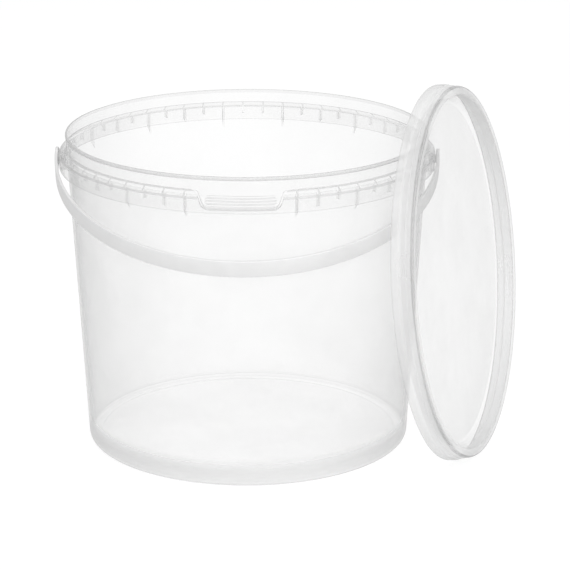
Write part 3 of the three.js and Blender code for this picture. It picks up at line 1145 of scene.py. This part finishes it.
@dataclass
class Studio:
    """The pale floor, the soft lamps, the white surroundings and the camera, fitted to the photograph.

    Its elevation and azimuth are in degrees, and its yaw and roll in radians.
    """

    floor_size: float = 12.0
    floor_colour: str = "#f4f4f4"
    floor_glow: float = 0.867
    floor_share: float = 0.18
    ambient: float = 0.66
    ambient_colour: str = "#f8f8f8"
    lamps: tuple[Lamp, ...] = (
        Lamp("key", (0.1, -1.7, 1.5), size=1.2, power=29.0),
        Lamp("fill", (1.5, -0.9, 1.1), size=1.2, power=8.0),
    )
    focal_pixels: float = 2568.4
    frame_pixels: float = 570.0
    sensor_width: float = 36.0
    distance: float = 1.5749
    elevation: float = 17.515
    azimuth: float = 2.0
    target_height: float = 0.0933
    yaw: float = 0.0145
    roll: float = -0.0041
    see_through_surfaces: int = 48

    def seen_directly(self, tree: Tree) -> Socket:
        """Gives 1 where a surface is seen by the camera, in a reflection or through glass."""
        path = add_node(tree, "ShaderNodeLightPath", {}, {})
        seen = calculate(tree, "MAXIMUM", path.outputs["Is Camera Ray"], path.outputs["Is Glossy Ray"])
        return calculate(tree, "MAXIMUM", seen, path.outputs["Is Transmission Ray"])

    def floor(self) -> bpy.types.Object:
        """Lays the floor: white to the eye, with the object's shadow kept faint on it."""
        bm = bmesh.new()
        bmesh.ops.create_grid(bm, x_segments=1, y_segments=1, size=self.floor_size / 2)
        obj = as_object(bm, "studio_floor", slots=0)
        made = blank_material("floor_paper")
        tree = made.node_tree
        paper = add_node(tree, "ShaderNodeBsdfDiffuse", {"Color": linear(self.floor_colour)}, {})
        glow = add_node(tree, "ShaderNodeEmission", {"Color": WHITE, "Strength": self.floor_glow}, {})
        share = self.floor_share
        faint = add_node(tree, "ShaderNodeBsdfDiffuse", {"Color": (share, share, share, 1)}, {})
        lit = add_node(tree, "ShaderNodeAddShader", {}, {0: glow.outputs[0], 1: faint.outputs[0]})
        seen = self.seen_directly(tree)
        mixed = add_node(
            tree, "ShaderNodeMixShader", {}, {0: seen, 1: paper.outputs[0], 2: lit.outputs[0]}
        )
        add_node(tree, "ShaderNodeOutputMaterial", {}, {"Surface": mixed.outputs[0]})
        obj.data.materials.append(made)
        return obj

    def world(self) -> None:
        """Sets the surroundings: white where they are seen, and a soft even light elsewhere."""
        world = bpy.data.worlds.new("studio")
        world.use_nodes = True
        tree = world.node_tree
        tree.nodes.clear()
        dim = {"Color": linear(self.ambient_colour), "Strength": self.ambient}
        soft = add_node(tree, "ShaderNodeBackground", dim, {})
        white = add_node(tree, "ShaderNodeBackground", {"Color": WHITE, "Strength": 1.0}, {})
        links = {0: self.seen_directly(tree), 1: soft.outputs[0], 2: white.outputs[0]}
        mixed = add_node(tree, "ShaderNodeMixShader", {}, links)
        add_node(tree, "ShaderNodeOutputWorld", {}, {"Surface": mixed.outputs[0]})
        bpy.context.scene.world = world

    def hang(self, lamp: Lamp) -> bpy.types.Object:
        """Hangs a lamp so that it points at the pail."""
        light = bpy.data.lights.new(lamp.name, "AREA")
        light.size = lamp.size
        light.energy = lamp.power
        obj = bpy.data.objects.new(lamp.name, light)
        obj.location = lamp.place
        aim = Vector((0, 0, self.target_height)) - Vector(lamp.place)
        obj.rotation_euler = aim.to_track_quat("-Z", "Y").to_euler()
        bpy.context.scene.collection.objects.link(obj)
        return obj

    def camera(self) -> bpy.types.Object:
        """Places the camera at the photograph's view."""
        lens = bpy.data.cameras.new("camera")
        lens.sensor_width = self.sensor_width
        lens.lens = self.focal_pixels / self.frame_pixels * self.sensor_width
        lens.clip_end = 2 * self.floor_size
        tilt = self.elevation * DEGREE
        ahead = Vector((0, math.cos(tilt), -math.sin(tilt)))
        right = Vector((1, 0, 0))
        up = right.cross(ahead)
        aimed = ahead * math.cos(self.yaw) + right * math.sin(self.yaw)
        across = right * math.cos(self.yaw) - ahead * math.sin(self.yaw)
        rolled = across * math.cos(self.roll) + up * math.sin(self.roll)
        upright = up * math.cos(self.roll) - across * math.sin(self.roll)
        place = Vector((0, 0, self.target_height)) - ahead * self.distance
        pose = Matrix((rolled, upright, -aimed)).transposed().to_4x4()
        obj = bpy.data.objects.new("camera", lens)
        turn = Matrix.Rotation(self.azimuth * DEGREE, 4, "Z")
        obj.matrix_world = turn @ Matrix.Translation(place) @ pose
        bpy.context.scene.collection.objects.link(obj)
        bpy.context.scene.camera = obj
        return obj

    def build(self) -> None:
        """Builds the whole studio."""
        self.camera()
        self.floor()
        self.world()
        for lamp in self.lamps:
            self.hang(lamp)
        scene = bpy.context.scene
        scene.view_settings.view_transform = "Standard"
        scene.cycles.transparent_max_bounces = self.see_through_surfaces


def main() -> None:
    """Builds the pail, its handle, its lid and the studio."""
    logging.basicConfig(level=logging.INFO, format="%(name)s: %(message)s")
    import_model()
    Studio().build()
    wall = MilkyPolypropylene("natural_polypropylene_wall", haze=0.05, cloud_haze=0.018)
    thick = replace(
        wall,
        name="natural_polypropylene_thick",
        colour="#b3b3b3",
        clouded="#c0c0c0",
        haze=0.1,
        slope_haze=0.16,
        edge_haze=0.8,
        edge_power=5.0,
    )
    # The darkest pail finish paints shade as dark lines on the bead, the flange's corners, the ribs' lines,
    # the pocket's wall and the grip's ridges.
    edge = replace(thick, name="natural_polypropylene_shade_line", colour="#a3a3a3", haze=0.2, outer_haze=0.3)
    foot = replace(wall, name="natural_polypropylene_foot", foot_haze=0.58)
    base = replace(wall, name="natural_polypropylene_base", haze=0.025, slope_haze=0.08, edge_haze=0.3)
    pail = Pail(
        finishes={Zone.WALL: wall, Zone.THICK: thick, Zone.PANEL: base, Zone.EDGE: edge, Zone.FOOT: foot}
    )
    handle = BowHandle(pail=pail, finish=WhitePolyethylene("white_polyethylene_strap"))
    channel = MilkyPolypropylene(
        "natural_polypropylene_channel", colour="#d3d3d3", clouded="#dddddd", haze=0.32, slope_haze=0.2
    )
    panel = MilkyPolypropylene("natural_polypropylene_panel", haze=0.04, cloud_haze=0.03)
    # The lid's dark finish paints shade along its outer rounding and its open edge.
    corner = replace(
        channel,
        name="natural_polypropylene_lid_shade_line",
        colour="#8f8f8f",
        clouded="#9b9b9b",
        haze=0.16,
        slope_haze=0.14,
        edge_haze=0.9,
        edge_power=4.0,
    )
    lid = Lid(
        pail=pail, handle=handle, finishes={Zone.WALL: channel, Zone.PANEL: panel, Zone.EDGE: corner}
    )
    for part in (pail, handle, lid):
        piece = part.build()
        log.info("%s: %d faces", piece.name, len(piece.data.polygons))


if __name__ == "__main__":
    main()
